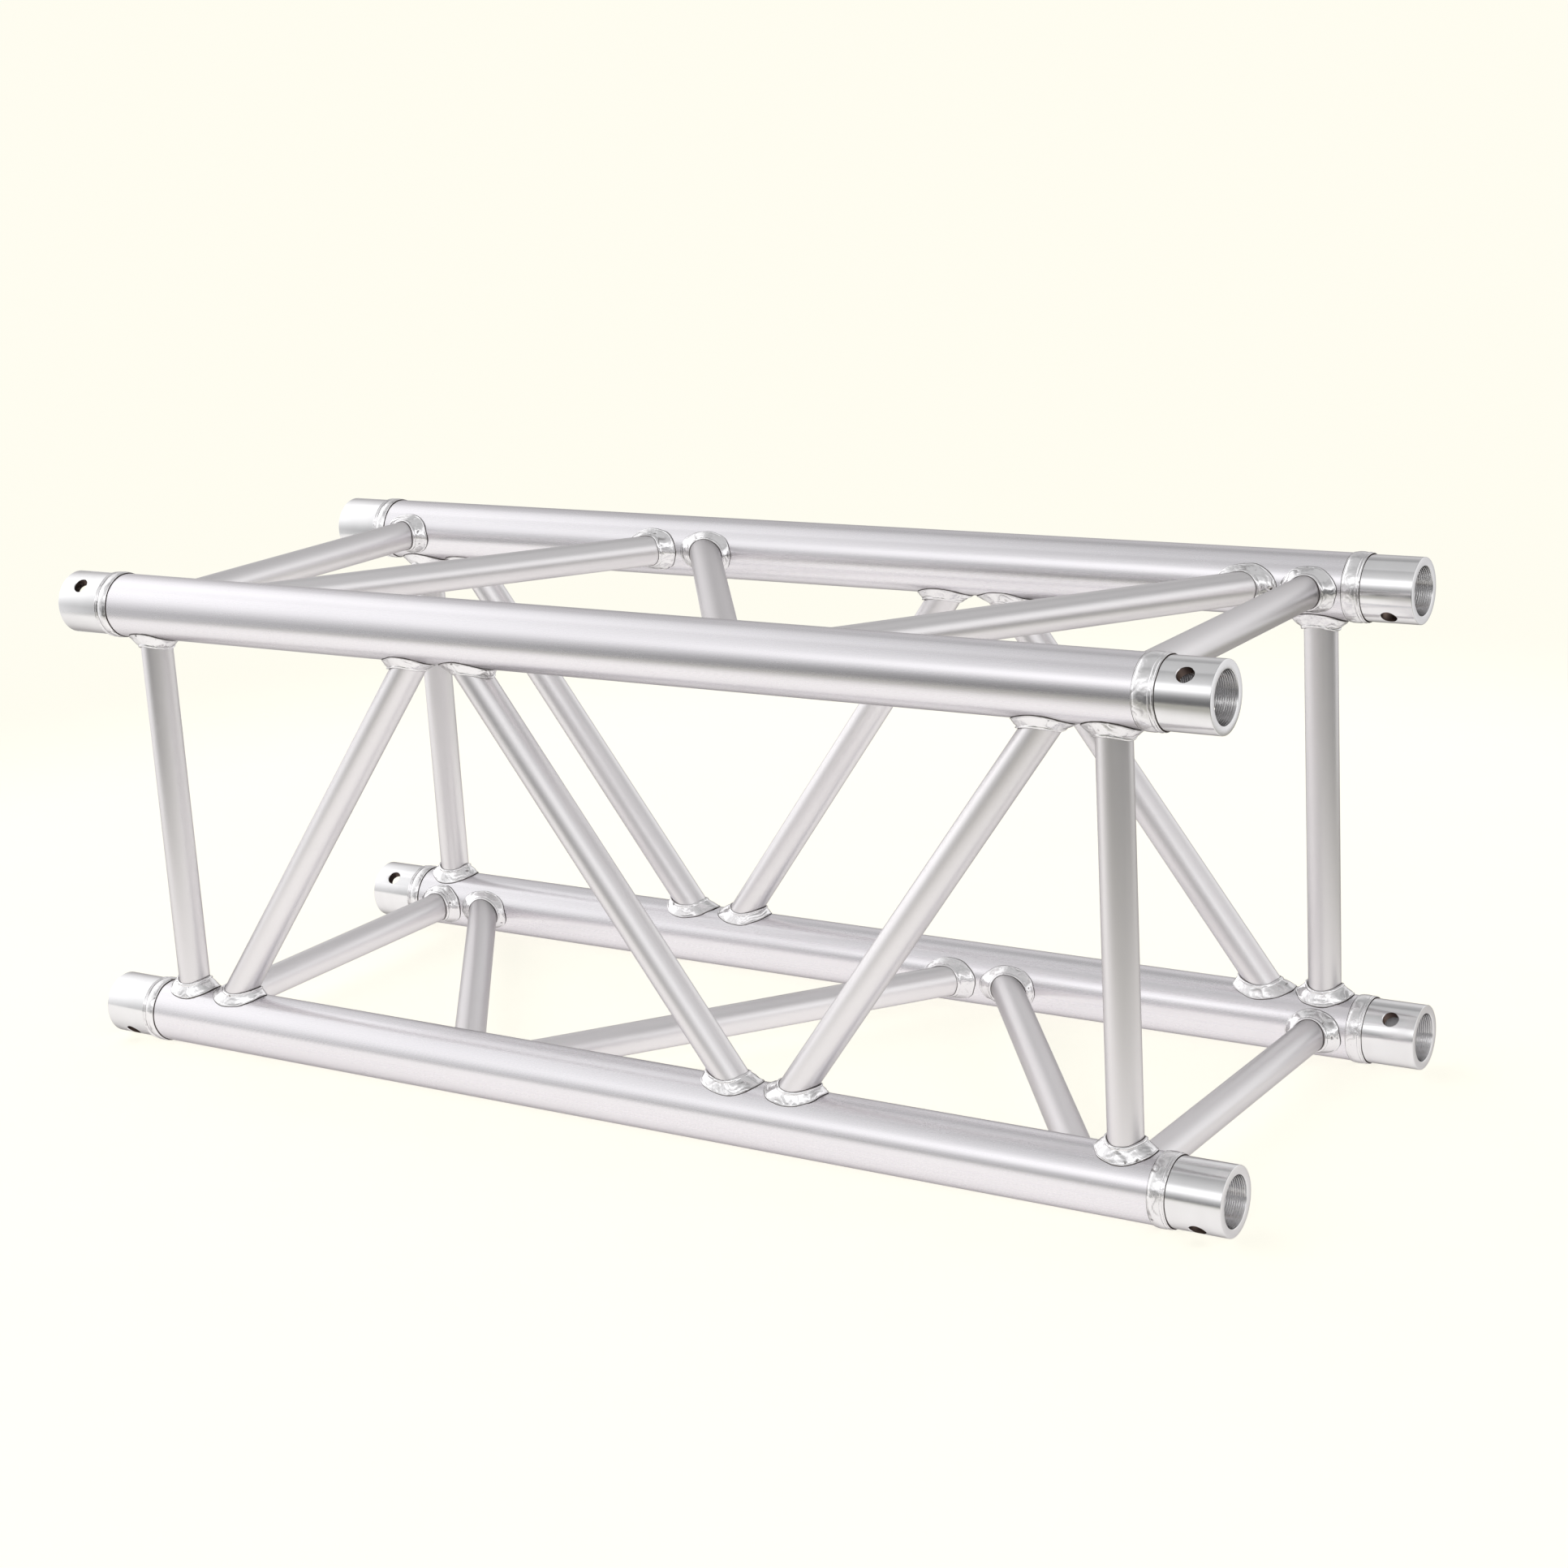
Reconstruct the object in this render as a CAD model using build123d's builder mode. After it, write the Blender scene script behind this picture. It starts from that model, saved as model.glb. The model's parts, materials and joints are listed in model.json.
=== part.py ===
"""Square lighting truss section, one metre long, in welded aluminium tube.

Four chords run along X at the corners of a square.  Each chord ends in a machined receiver, a socket
with a tapered bore and a cross-pin hole, joined by a weld ring.  The chords are tied together on each
of the four faces by a square-on brace at both ends and three diagonals between them, and each brace
foot is coped to the chord and has a weld bead around it.

The origin is the middle of the section, +X runs along it, +Z is up.  Millimetres.
"""
from build123d import *
import os

# ---- Driving dimensions ----
section_length = 1000.0     # end face to end face
chord_spacing = 340.0       # chord centre to chord centre, across and up
chord_radius = 25.0
chord_wall = 3.0
brace_radius = 12.5
brace_wall = 2.0

# Receivers, all lengths back from the end face
receiver_radius = 24.5
joint_depth = 46.5          # chord end and receiver shoulder
spigot_length = 25.0        # how far the receiver reaches into the chord
spigot_clearance = 0.1
socket_mouth_radius = 18.0
socket_floor_radius = 16.0
socket_depth = 43.0
through_radius = 14.5       # bore behind the tapered socket
mouth_bevel = 0.6
pin_hole_radius = 6.0
pin_hole_depth = 20.0       # pin hole centre from the end face
weld_prep = 1.6             # bevel on the two edges that meet in the joint

# Weld rings between chord and receiver
ring_inner_depth = 53.0     # edge on the chord
ring_outer_depth = 40.0     # edge on the receiver
ring_height = 1.2           # crown above the chord
lip_width = 1.6             # rolled lip along each edge
lip_height = 0.7

# Braces
end_brace_x = 421.0         # uprights and cross struts, from the middle
end_foot_x = 372.5          # diagonal foot next to them, at the chord's surface
mid_outer_foot_x = 159.5    # the other end of the same diagonal
mid_inner_foot_x = 106.5    # feet of the middle diagonal

# Weld beads around the brace feet: half lengths along the chord, half widths across it
end_bead = (22.8, 17.3)             # an upright's bead meets its neighbour strut's, a quarter turn round
diagonal_bead = (25.2, 20.3)
bead_leg = 9.0                      # up the brace from the chord's crown
bead_lip = 1.0                      # bead thickness where it ends on the brace
bead_sink = 1.0                     # how far inside the chord the uncut bead starts

# ---- Values worked out from them ----
half_length = section_length / 2
half_spacing = chord_spacing / 2
chord_half_length = half_length - joint_depth
clear_height = chord_spacing - 2 * chord_radius
diagonal_slope = (end_foot_x - mid_outer_foot_x) / clear_height     # X travel for each mm between chords

# Chord name: side (-1 front, +1 back) and level (-1 bottom, +1 top)
chords = {
    "top_front": (-1, 1),
    "top_back": (1, 1),
    "bottom_front": (-1, -1),
    "bottom_back": (1, -1),
}
ends = {"left": -1, "right": 1}

# Face name: the chord that the face's left diagonal starts from, and the chord across from it
faces = {
    "front": ("bottom_front", "top_front"),
    "back": ("top_back", "bottom_back"),
    "top": ("top_front", "top_back"),
    "bottom": ("bottom_back", "bottom_front"),
}

# Diagonal name: its foot on the first chord of the face, and its foot on the second
diagonals = {
    "left": (-end_foot_x, -mid_outer_foot_x),
    "middle": (mid_inner_foot_x, -mid_inner_foot_x),
    "right": (mid_outer_foot_x, end_foot_x),
}

os.makedirs("parts", exist_ok=True)


def save(piece, name):
    """Label a finished piece and write its STEP file."""
    piece.part.label = name
    export_step(piece.part, f"parts/{name}.step")


def chord_centre(name, x=0.0):
    """The point on a chord's centre line at x."""
    side, level = chords[name]
    return Vector(x, side * half_spacing, level * half_spacing)


def section_plane(name, x=0.0):
    """Plane square to a chord, centred on it, looking along +X."""
    return Plane(origin=chord_centre(name, x), x_dir=(0, 1, 0), z_dir=(1, 0, 0))


def turning_plane(name, end):
    """Plane through a chord's centre line: local X runs from mid-length out to this end."""
    return Plane(origin=chord_centre(name), x_dir=(end, 0, 0), z_dir=(0, -end, 0))


def centre_line(name):
    """The axis that a chord, its receivers and their weld rings are turned about."""
    return Axis(chord_centre(name), (1, 0, 0))


def make_chord(name):
    """Plain tube, bevelled outside at both ends for the weld."""
    with BuildPart() as chord:
        with BuildSketch(section_plane(name)):
            Circle(chord_radius)
            Circle(chord_radius - chord_wall, mode=Mode.SUBTRACT)
        extrude(amount=chord_half_length, both=True)
        end_faces = chord.faces().filter_by(Axis.X)
        outer_rims = end_faces.edges().filter_by(GeomType.CIRCLE).group_by(SortBy.RADIUS)[-1]
        chamfer(outer_rims, length=weld_prep)
    save(chord, f"chord_{name}")


def make_receiver(name, end, end_name):
    """Turned socket: spigot, shoulder, tapered bore, and a pin hole across a diagonal of the section."""
    spigot_radius = chord_radius - chord_wall - spigot_clearance
    shoulder = chord_half_length
    spigot_end = shoulder - spigot_length
    side, level = chords[name]
    # The pin hole points straight away from the section's centre line
    pin_direction = Vector(0, side, level)
    outline = [
        (spigot_end, through_radius),
        (spigot_end, spigot_radius),
        (shoulder, spigot_radius),
        (shoulder, receiver_radius - weld_prep),
        (shoulder + weld_prep, receiver_radius),
        (half_length - mouth_bevel, receiver_radius),
        (half_length, receiver_radius - mouth_bevel),
        (half_length, socket_mouth_radius + mouth_bevel),
        (half_length - mouth_bevel, socket_mouth_radius),
        (half_length - socket_depth, socket_floor_radius),
        (half_length - socket_depth, through_radius),
    ]
    with BuildPart() as receiver:
        with BuildSketch(turning_plane(name, end)):
            with BuildLine():
                Polyline(*outline, close=True)
            make_face()
        revolve(axis=centre_line(name))
        pin_centre = chord_centre(name, end * (half_length - pin_hole_depth))
        with BuildSketch(Plane(origin=pin_centre, z_dir=pin_direction)):
            Circle(pin_hole_radius)
        extrude(amount=chord_radius, both=True, mode=Mode.SUBTRACT)
    save(receiver, f"receiver_{name}_{end_name}")


def make_weld_ring(name, end, end_name):
    """Ring of weld that fills the bevelled joint: a broad flat crown with a rolled lip on each edge."""
    joint = chord_half_length
    inner_edge = half_length - ring_inner_depth
    outer_edge = half_length - ring_outer_depth
    crown = chord_radius + ring_height
    lip_top = chord_radius + lip_height
    groove = chord_radius + lip_height / 2
    with BuildPart() as ring:
        with BuildSketch(turning_plane(name, end)):
            with BuildLine():
                Polyline(
                    (inner_edge, chord_radius),
                    (joint - weld_prep, chord_radius),
                    (joint, chord_radius - weld_prep),
                    (joint, receiver_radius - weld_prep),
                    (joint + weld_prep, receiver_radius),
                    (outer_edge, receiver_radius),
                )
                outer_lip = ThreePointArc(
                    (outer_edge, receiver_radius),
                    (outer_edge - lip_width / 2, lip_top),
                    (outer_edge - lip_width, groove),
                )
                inner_lip = ThreePointArc(
                    (inner_edge + lip_width, groove),
                    (inner_edge + lip_width / 2, lip_top),
                    (inner_edge, chord_radius),
                )
                ThreePointArc(outer_lip @ 1, ((inner_edge + outer_edge) / 2, crown), inner_lip @ 0)
            make_face()
        revolve(axis=centre_line(name))
    save(ring, f"ring_weld_{name}_{end_name}")


def foot_centre(name, foot_x, toward, slope, height):
    """Where a brace's centre line stands, this high above the chord's centre line."""
    drift = slope * (height - chord_radius)
    return chord_centre(name, foot_x + drift) + toward * height


def both_feet(first, second):
    """For each foot of a brace: chord name, x at the chord's surface, way to the other chord, slope."""
    first_chord, first_x = first
    second_chord, second_x = second
    across = (chord_centre(second_chord) - chord_centre(first_chord)).normalized()
    slope = (second_x - first_x) / clear_height
    return (first_chord, first_x, across, slope), (second_chord, second_x, -across, -slope)


def brace_line(first, second):
    """Where a brace's centre line starts, on the first chord's own, and its run to the second's."""
    start, finish = (foot_centre(*foot, 0) for foot in both_feet(first, second))
    return start, finish - start


def make_brace(label, first, second):
    """Round tube between two chords, coped to both.  Each foot is (chord name, x at the chord's surface)."""
    start, run = brace_line(first, second)
    with BuildPart() as brace:
        with BuildSketch(Plane(origin=start, z_dir=run)):
            Circle(brace_radius)
            Circle(brace_radius - brace_wall, mode=Mode.SUBTRACT)
        extrude(amount=run.length)
        for chord_name, _ in (first, second):
            with BuildSketch(section_plane(chord_name)):
                Circle(chord_radius)
            extrude(amount=half_length, both=True, mode=Mode.SUBTRACT)
    save(brace, label)


def make_foot_welds(label, first, second, bead):
    """The beads around a brace's two feet, as separate solids in one node.

    A bead starts as a tapered oval block around the brace, wide at the chord, and the chord and the
    brace are cut out of it.
    """
    start, run = brace_line(first, second)
    sideways_per_height = (second[1] - first[1]) / clear_height
    half_length_at_crown, half_width = bead
    top_height = chord_radius + bead_leg
    low_height = (chord_radius**2 - half_width**2) ** 0.5 - bead_sink
    # Half the length of the brace's own section, cut level with the chord, with the lip around it
    top_half_length = brace_radius * (1 + sideways_per_height**2) ** 0.5 + bead_lip
    flare = (half_length_at_crown - top_half_length) / bead_leg
    low_half_length = top_half_length + flare * (top_height - low_height)
    with BuildPart() as welds:
        for foot in both_feet(first, second):
            toward = foot[2]
            with BuildSketch(Plane(origin=foot_centre(*foot, low_height), x_dir=(1, 0, 0), z_dir=toward)):
                Ellipse(low_half_length, half_width)
            with BuildSketch(Plane(origin=foot_centre(*foot, top_height), x_dir=(1, 0, 0), z_dir=toward)):
                Ellipse(top_half_length, brace_radius + bead_lip)
            loft(ruled=True)
        for chord_name, _ in (first, second):
            with BuildSketch(section_plane(chord_name)):
                Circle(chord_radius)
            extrude(amount=half_length, both=True, mode=Mode.SUBTRACT)
        with BuildSketch(Plane(origin=start, z_dir=run)):
            Circle(brace_radius)
        extrude(amount=run.length, mode=Mode.SUBTRACT)
    save(welds, f"{label}_welds")


def make_welded_brace(label, first, second, bead):
    """One brace and its two weld beads."""
    make_brace(label, first, second)
    make_foot_welds(label, first, second, bead)


for chord_name in chords:
    make_chord(chord_name)
    for end_name, end in ends.items():
        make_receiver(chord_name, end, end_name)
        make_weld_ring(chord_name, end, end_name)

for face_name, (first_chord, second_chord) in faces.items():
    square_on = "upright" if face_name in ("front", "back") else "strut"
    for end_name, end in ends.items():
        brace_x = end * end_brace_x
        make_welded_brace(
            f"{square_on}_{face_name}_{end_name}",
            (first_chord, brace_x),
            (second_chord, brace_x),
            end_bead,
        )
    for place, (first_x, second_x) in diagonals.items():
        make_welded_brace(
            f"diagonal_{face_name}_{place}",
            (first_chord, first_x),
            (second_chord, second_x),
            diagonal_bead,
        )
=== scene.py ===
"""Looks for the box truss section: finer tubes, turned receivers, rippled welds and aluminium finishes."""
import json
import math

import bmesh
import bpy
from mathutils import Matrix, Vector, noise


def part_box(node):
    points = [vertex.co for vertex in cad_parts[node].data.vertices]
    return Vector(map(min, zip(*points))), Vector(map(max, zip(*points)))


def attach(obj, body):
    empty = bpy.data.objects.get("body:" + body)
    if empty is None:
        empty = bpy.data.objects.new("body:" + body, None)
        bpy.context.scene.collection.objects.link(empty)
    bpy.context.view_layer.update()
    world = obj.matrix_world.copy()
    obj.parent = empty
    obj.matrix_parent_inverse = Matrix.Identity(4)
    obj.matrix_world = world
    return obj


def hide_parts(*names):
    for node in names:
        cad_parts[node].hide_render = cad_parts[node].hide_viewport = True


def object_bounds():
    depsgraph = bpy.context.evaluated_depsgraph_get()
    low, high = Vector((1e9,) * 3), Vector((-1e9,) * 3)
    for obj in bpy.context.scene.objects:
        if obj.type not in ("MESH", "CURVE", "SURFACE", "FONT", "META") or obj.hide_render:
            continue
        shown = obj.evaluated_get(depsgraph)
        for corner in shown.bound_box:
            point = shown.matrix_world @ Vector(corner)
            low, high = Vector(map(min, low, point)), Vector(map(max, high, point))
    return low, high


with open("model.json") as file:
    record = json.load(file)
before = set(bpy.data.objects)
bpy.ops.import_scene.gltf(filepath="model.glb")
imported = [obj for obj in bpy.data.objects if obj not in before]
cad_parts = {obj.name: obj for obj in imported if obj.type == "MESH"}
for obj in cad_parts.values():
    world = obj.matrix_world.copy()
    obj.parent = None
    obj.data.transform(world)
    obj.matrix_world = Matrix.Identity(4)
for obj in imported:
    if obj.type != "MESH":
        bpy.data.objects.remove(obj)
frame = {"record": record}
cad_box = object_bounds()

MM = 0.001

# ---- What the frame says, in metres ----
CHORD_LOW, CHORD_HIGH = (Vector(corner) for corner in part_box("chord_top_front"))
CHORD_RADIUS = (CHORD_HIGH.z - CHORD_LOW.z) / 2
CHORD_HALF_LENGTH = CHORD_HIGH.x
HALF_SPACING = (CHORD_HIGH.z + CHORD_LOW.z) / 2
HALF_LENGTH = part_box("receiver_top_front_right")[1][0]
RING_LOW, RING_HIGH = (Vector(corner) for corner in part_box("ring_weld_top_front_right"))
RECEIVER_LOW, RECEIVER_HIGH = (Vector(corner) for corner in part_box("receiver_top_front_right"))
RECEIVER_RADIUS = (RECEIVER_HIGH.z - RECEIVER_LOW.z) / 2
BRACE_LOW, BRACE_HIGH = (Vector(corner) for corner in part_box("upright_front_right"))
BRACE_RADIUS = (BRACE_HIGH.x - BRACE_LOW.x) / 2
MOUNTS = {mount["name"]: mount for mount in frame["record"]["mounts"]}
PIN_MOUNT = MOUNTS["pin_holes_top_front_to_bottom_back_right"]
PIN_RADIUS = PIN_MOUNT["dims"]["r_mm"] * MM
PIN_X = PIN_MOUNT["pos_m"][0]
THROUGH_RADIUS = MOUNTS["socket_top_front_right"]["dims"]["r_mm"] * MM

# ---- Sizes the frame's boxes don't give ----
CHORD_WALL = 3 * MM
BRACE_WALL = 2 * MM
SOCKET_MOUTH_RADIUS = 18 * MM
SOCKET_FLOOR_RADIUS = 16 * MM
SOCKET_DEPTH = 43 * MM
SPIGOT_CLEARANCE = 0.1 * MM
WELD_PREP = 1.6 * MM
MOUTH_ROUND = 0.6 * MM
PIN_HOLE_BEVEL = 0.5 * MM
BORE_GROOVE_PITCH = 1.6 * MM        # tool marks in the tapered bore
BORE_GROOVE_HALF_WIDTH = 0.2 * MM
BORE_GROOVE_DEPTH = 0.12 * MM

# ---- How finely pieces are made ----
CHORD_STEPS = 160               # round each turned piece
RECEIVER_STEPS = 192
RING_STEPS = 240
BRACE_STEPS = 96
PIN_HOLE_STEPS = 72
MERGE = 0.001 * MM              # points closer than this are one

# Chord name: side (-1 front, +1 back) and level (-1 bottom, +1 top)
CHORDS = {
    "top_front": (-1, 1),
    "top_back": (1, 1),
    "bottom_front": (-1, -1),
    "bottom_back": (1, -1),
}
ENDS = {"left": -1, "right": 1}

# Face name: the chord that its left diagonal starts from, and the chord across from it
FACES = {
    "front": ("bottom_front", "top_front"),
    "back": ("top_back", "bottom_back"),
    "top": ("top_front", "top_back"),
    "bottom": ("bottom_back", "bottom_front"),
}
# Which way each diagonal runs from its first chord to the second: +1 towards the right-hand end
DIAGONAL_LEAN = {"left": 1, "middle": -1, "right": 1}


# ---- Shader helpers ----
COLOUR_SOCKETS = (0, 6, 7)      # a Mix node's factor and its two inputs, by what it mixes
VALUE_SOCKETS = (0, 2, 3)


def add_node(tree, kind, **settings):
    """A node with its properties set by name."""
    node = tree.nodes.new(kind)
    for key, value in settings.items():
        setattr(node, key, value)
    return node


def feed(tree, socket, value):
    """A socket given another node's output, or a plain value."""
    if isinstance(value, bpy.types.NodeSocket):
        tree.links.new(value, socket)
    else:
        socket.default_value = value


def mix_colours(tree, factor, first, second, blend_type="MIX"):
    """Two colours, as outputs or plain red, green, blue and alpha, mixed by a factor."""
    mix = add_node(tree, "ShaderNodeMix", data_type="RGBA", blend_type=blend_type)
    for number, value in zip(COLOUR_SOCKETS, (factor, first, second)):
        feed(tree, mix.inputs[number], value)
    return mix.outputs[2]


def mix_values(tree, factor, first, second):
    """Two values mixed by a factor."""
    mix = add_node(tree, "ShaderNodeMix", data_type="FLOAT")
    for number, value in zip(VALUE_SOCKETS, (factor, first, second)):
        feed(tree, mix.inputs[number], value)
    return mix.outputs[0]


def calculate(tree, operation, *values):
    """One step of arithmetic on outputs and plain values."""
    node = add_node(tree, "ShaderNodeMath", operation=operation)
    for socket, value in zip(node.inputs, values):
        feed(tree, socket, value)
    return node.outputs[0]


def map_range(tree, value, start, stop, low=0.0, high=1.0, interpolation="LINEAR"):
    """A value that runs from low to high as another goes from start to stop, and stays there beyond."""
    span = add_node(tree, "ShaderNodeMapRange", clamp=True, interpolation_type=interpolation)
    settings = {"Value": value, "From Min": start, "From Max": stop, "To Min": low, "To Max": high}
    for label, setting in settings.items():
        feed(tree, span.inputs[label], setting)
    return span.outputs[0]


def stretched_noise(tree, vector, stretch, scale, detail=3.0, roughness=0.55):
    """Noise drawn out along the axes where stretch is small."""
    place = add_node(tree, "ShaderNodeVectorMath", operation="MULTIPLY")
    feed(tree, place.inputs[0], vector)
    feed(tree, place.inputs[1], stretch)
    grain = add_node(tree, "ShaderNodeTexNoise")
    settings = {"Vector": place.outputs[0], "Scale": scale, "Detail": detail, "Roughness": roughness}
    for label, setting in settings.items():
        feed(tree, grain.inputs[label], setting)
    return grain.outputs["Fac"]


# ---- Shader node groups ----
def new_group(name, inputs, outputs):
    """An empty shader node group with a Vector input, float inputs (name, default) and named outputs."""
    group = bpy.data.node_groups.new(name, "ShaderNodeTree")
    group.interface.new_socket("Vector", in_out="INPUT", socket_type="NodeSocketVector")
    for label, default in inputs:
        socket = group.interface.new_socket(label, in_out="INPUT", socket_type="NodeSocketFloat")
        socket.default_value = default
    for label in outputs:
        group.interface.new_socket(label, in_out="OUTPUT", socket_type="NodeSocketFloat")
    return group, group.nodes.new("NodeGroupInput"), group.nodes.new("NodeGroupOutput")


def make_draw_line_group():
    """Die lines of drawn or extruded tube: fine streaks along local X, with broader soft bands under them."""
    group, entry, leave = new_group("draw_lines", [], ["Streak", "Cloud"])
    vector = entry.outputs["Vector"]
    fine = stretched_noise(group, vector, (1.2, 900, 900), 1.0)
    broad = stretched_noise(group, vector, (0.6, 160, 160), 1.0, detail=2.0)
    group.links.new(mix_values(group, 0.45, fine, broad), leave.inputs["Streak"])
    cloud = stretched_noise(group, vector, (4, 22, 22), 1.0, detail=4.0)
    group.links.new(cloud, leave.inputs["Cloud"])
    return group


def make_turning_group():
    """Lathe marks: fine rings across local X, uneven from one to the next."""
    group, entry, leave = new_group("turning_marks", [], ["Rings", "Cloud"])
    vector = entry.outputs["Vector"]
    fine = stretched_noise(group, vector, (5200, 6, 6), 1.0, detail=2.0)
    coarse = stretched_noise(group, vector, (900, 4, 4), 1.0, detail=2.0)
    group.links.new(mix_values(group, 0.4, fine, coarse), leave.inputs["Rings"])
    group.links.new(stretched_noise(group, vector, (60, 40, 40), 1.0, detail=4.0), leave.inputs["Cloud"])
    return group


def make_scuff_group():
    """Handling marks: a mask of scattered short scratches and rubbed patches."""
    group, entry, leave = new_group("handling_marks", [("Amount", 0.5)], ["Mask"])
    vector = entry.outputs["Vector"]
    patches = stretched_noise(group, vector, (1, 1, 1), 26.0, detail=5.0, roughness=0.65)
    scratches = stretched_noise(group, vector, (60, 420, 700), 1.0, detail=6.0, roughness=0.8)
    marks = map_range(group, calculate(group, "MULTIPLY", patches, scratches), 0.30, 0.46)
    group.links.new(calculate(group, "MULTIPLY", marks, entry.outputs["Amount"]), leave.inputs["Mask"])
    return group


DRAW_LINES = make_draw_line_group()
TURNING_MARKS = make_turning_group()
HANDLING_MARKS = make_scuff_group()


# ---- Materials ----
TURNING_DEPTH = 0.02 * MM
BORE_COARSENESS = 9                 # how much deeper the turning marks are in a receiver's bore
WELD_RIPPLE_DEPTH = 0.34 * MM
EDGE_TINT = (0.38, 0.37, 0.37, 1)   # how much the film on the metal dims it where it is seen edge on
TURNED_TINTS = ((0.83, 0.82, 0.83, 1), (0.92, 0.92, 0.93, 1))
# Painted shade: the dark brown colour inside the cross-pin holes
DRILLED_HOLE_SHADE = (0.20, 0.15, 0.13, 1)
WELD_TINT = (0.90, 0.89, 0.90, 1)
# Soot and painted shade: the dark colour of the welds' pits, creases and edges
SOOT_AND_SHADE_TINT = (0.07, 0.055, 0.05, 1)


def new_material(name):
    """A metal material with an empty node tree, its Principled shader and its output joined."""
    material = bpy.data.materials.new(name)
    material.use_nodes = True
    tree = material.node_tree
    tree.nodes.clear()
    shader = tree.nodes.new("ShaderNodeBsdfPrincipled")
    output = tree.nodes.new("ShaderNodeOutputMaterial")
    tree.links.new(shader.outputs[0], output.inputs["Surface"])
    shader.inputs["Metallic"].default_value = 1.0
    shader.inputs["Specular Tint"].default_value = EDGE_TINT
    return material, tree, shader


def place_group(tree, group, vector, **values):
    """A node group placed in a material, fed with a vector and its own values."""
    node = tree.nodes.new("ShaderNodeGroup")
    node.node_tree = group
    tree.links.new(vector, node.inputs["Vector"])
    for label, value in values.items():
        node.inputs[label].default_value = value
    return node


def object_vector(tree):
    return tree.nodes.new("ShaderNodeTexCoord").outputs["Object"]


def attribute_output(tree, name, output):
    return add_node(tree, "ShaderNodeAttribute", attribute_name=name).outputs[output]


def spread_noise(tree, factor, low, high):
    """Value that runs from low to high as a factor goes from 0.3 to 0.7, where noise mostly lies."""
    return map_range(tree, factor, 0.3, 0.7, low, high)


def bump(tree, shader, height, distance):
    """Bump fed to the shader's normal."""
    node = add_node(tree, "ShaderNodeBump")
    node.inputs["Distance"].default_value = distance
    tree.links.new(height, node.inputs["Height"])
    tree.links.new(node.outputs[0], shader.inputs["Normal"])


def make_tube_material(name, dark, light, smooth, rough, line_depth, from_attribute):
    """Mill-finish aluminium tube with draw lines along it."""
    material, tree, shader = new_material(name)
    vector = attribute_output(tree, "along_tube", "Vector") if from_attribute else object_vector(tree)
    lines = place_group(tree, DRAW_LINES, vector)
    marks = place_group(tree, HANDLING_MARKS, object_vector(tree), Amount=0.5)
    tint = mix_colours(tree, lines.outputs["Cloud"], (*dark, 1), (*light, 1))
    tree.links.new(tint, shader.inputs["Base Color"])
    roughness = spread_noise(tree, lines.outputs["Streak"], smooth, rough)
    scuffed = mix_values(tree, marks.outputs["Mask"], roughness, rough + 0.12)
    tree.links.new(scuffed, shader.inputs["Roughness"])
    bump(tree, shader, lines.outputs["Streak"], line_depth)
    return material


def make_receiver_material():
    """Bright turned aluminium with fine rings around its axis; the drilled holes are dull and painted dark as
    the shade inside them.
    """
    material, tree, shader = new_material("turned_aluminium")
    vector = object_vector(tree)
    rings = place_group(tree, TURNING_MARKS, vector)
    marks = place_group(tree, HANDLING_MARKS, vector, Amount=0.35)
    drilled = attribute_output(tree, "drilled", "Fac")
    bored = attribute_output(tree, "bored", "Fac")
    tint = mix_colours(tree, rings.outputs["Cloud"], *TURNED_TINTS)
    # Painted shade: the drilled hole walls take the dark brown colour
    tree.links.new(mix_colours(tree, drilled, tint, DRILLED_HOLE_SHADE), shader.inputs["Base Color"])
    roughness = spread_noise(tree, rings.outputs["Rings"], 0.11, 0.20)
    for mask, rougher in ((marks.outputs["Mask"], 0.32), (bored, 0.15), (drilled, 0.42)):
        roughness = mix_values(tree, mask, roughness, rougher)
    tree.links.new(roughness, shader.inputs["Roughness"])
    coarseness = calculate(tree, "MULTIPLY_ADD", bored, BORE_COARSENESS - 1, 1)
    bump(tree, shader, calculate(tree, "MULTIPLY", coarseness, rings.outputs["Rings"]), TURNING_DEPTH)
    return material


def make_weld_material():
    """Bright weld metal with a smooth, once-molten surface, darkened in its pits, creases and edges by soot and
    painted shade.
    """
    material, tree, shader = new_material("weld_aluminium")
    vector = object_vector(tree)
    grain = stretched_noise(tree, vector, (1, 1, 1), 1400.0, detail=2.0)
    flow = stretched_noise(tree, vector, (1, 1, 1), 210.0, detail=2.0, roughness=0.4)
    # Soot and painted shade: the weld colour turns dark where the mesh marks pits, creases and edges
    soot_and_shade = attribute_output(tree, "soot_and_shade", "Fac")
    tree.links.new(mix_colours(tree, soot_and_shade, WELD_TINT, SOOT_AND_SHADE_TINT), shader.inputs["Base Color"])
    roughness = spread_noise(tree, grain, 0.17, 0.25)
    tree.links.new(mix_values(tree, soot_and_shade, roughness, 0.6), shader.inputs["Roughness"])
    bump(tree, shader, calculate(tree, "MULTIPLY_ADD", grain, 0.06, flow), WELD_RIPPLE_DEPTH)
    return material


CHORD_FINISH = make_tube_material("chord_aluminium", (0.84, 0.82, 0.85), (0.91, 0.89, 0.92),
                                  0.24, 0.30, 0.009 * MM, False)
BRACE_FINISH = make_tube_material("brace_aluminium", (0.81, 0.79, 0.80), (0.89, 0.87, 0.88),
                                  0.35, 0.42, 0.012 * MM, True)
RECEIVER_FINISH = make_receiver_material()
WELD_FINISH = make_weld_material()


# ---- Mesh helpers ----
def chord_centre(name, x=0.0):
    """The point on a chord's centre line at x."""
    side, level = CHORDS[name]
    return Vector((x, side * HALF_SPACING, level * HALF_SPACING))


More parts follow.
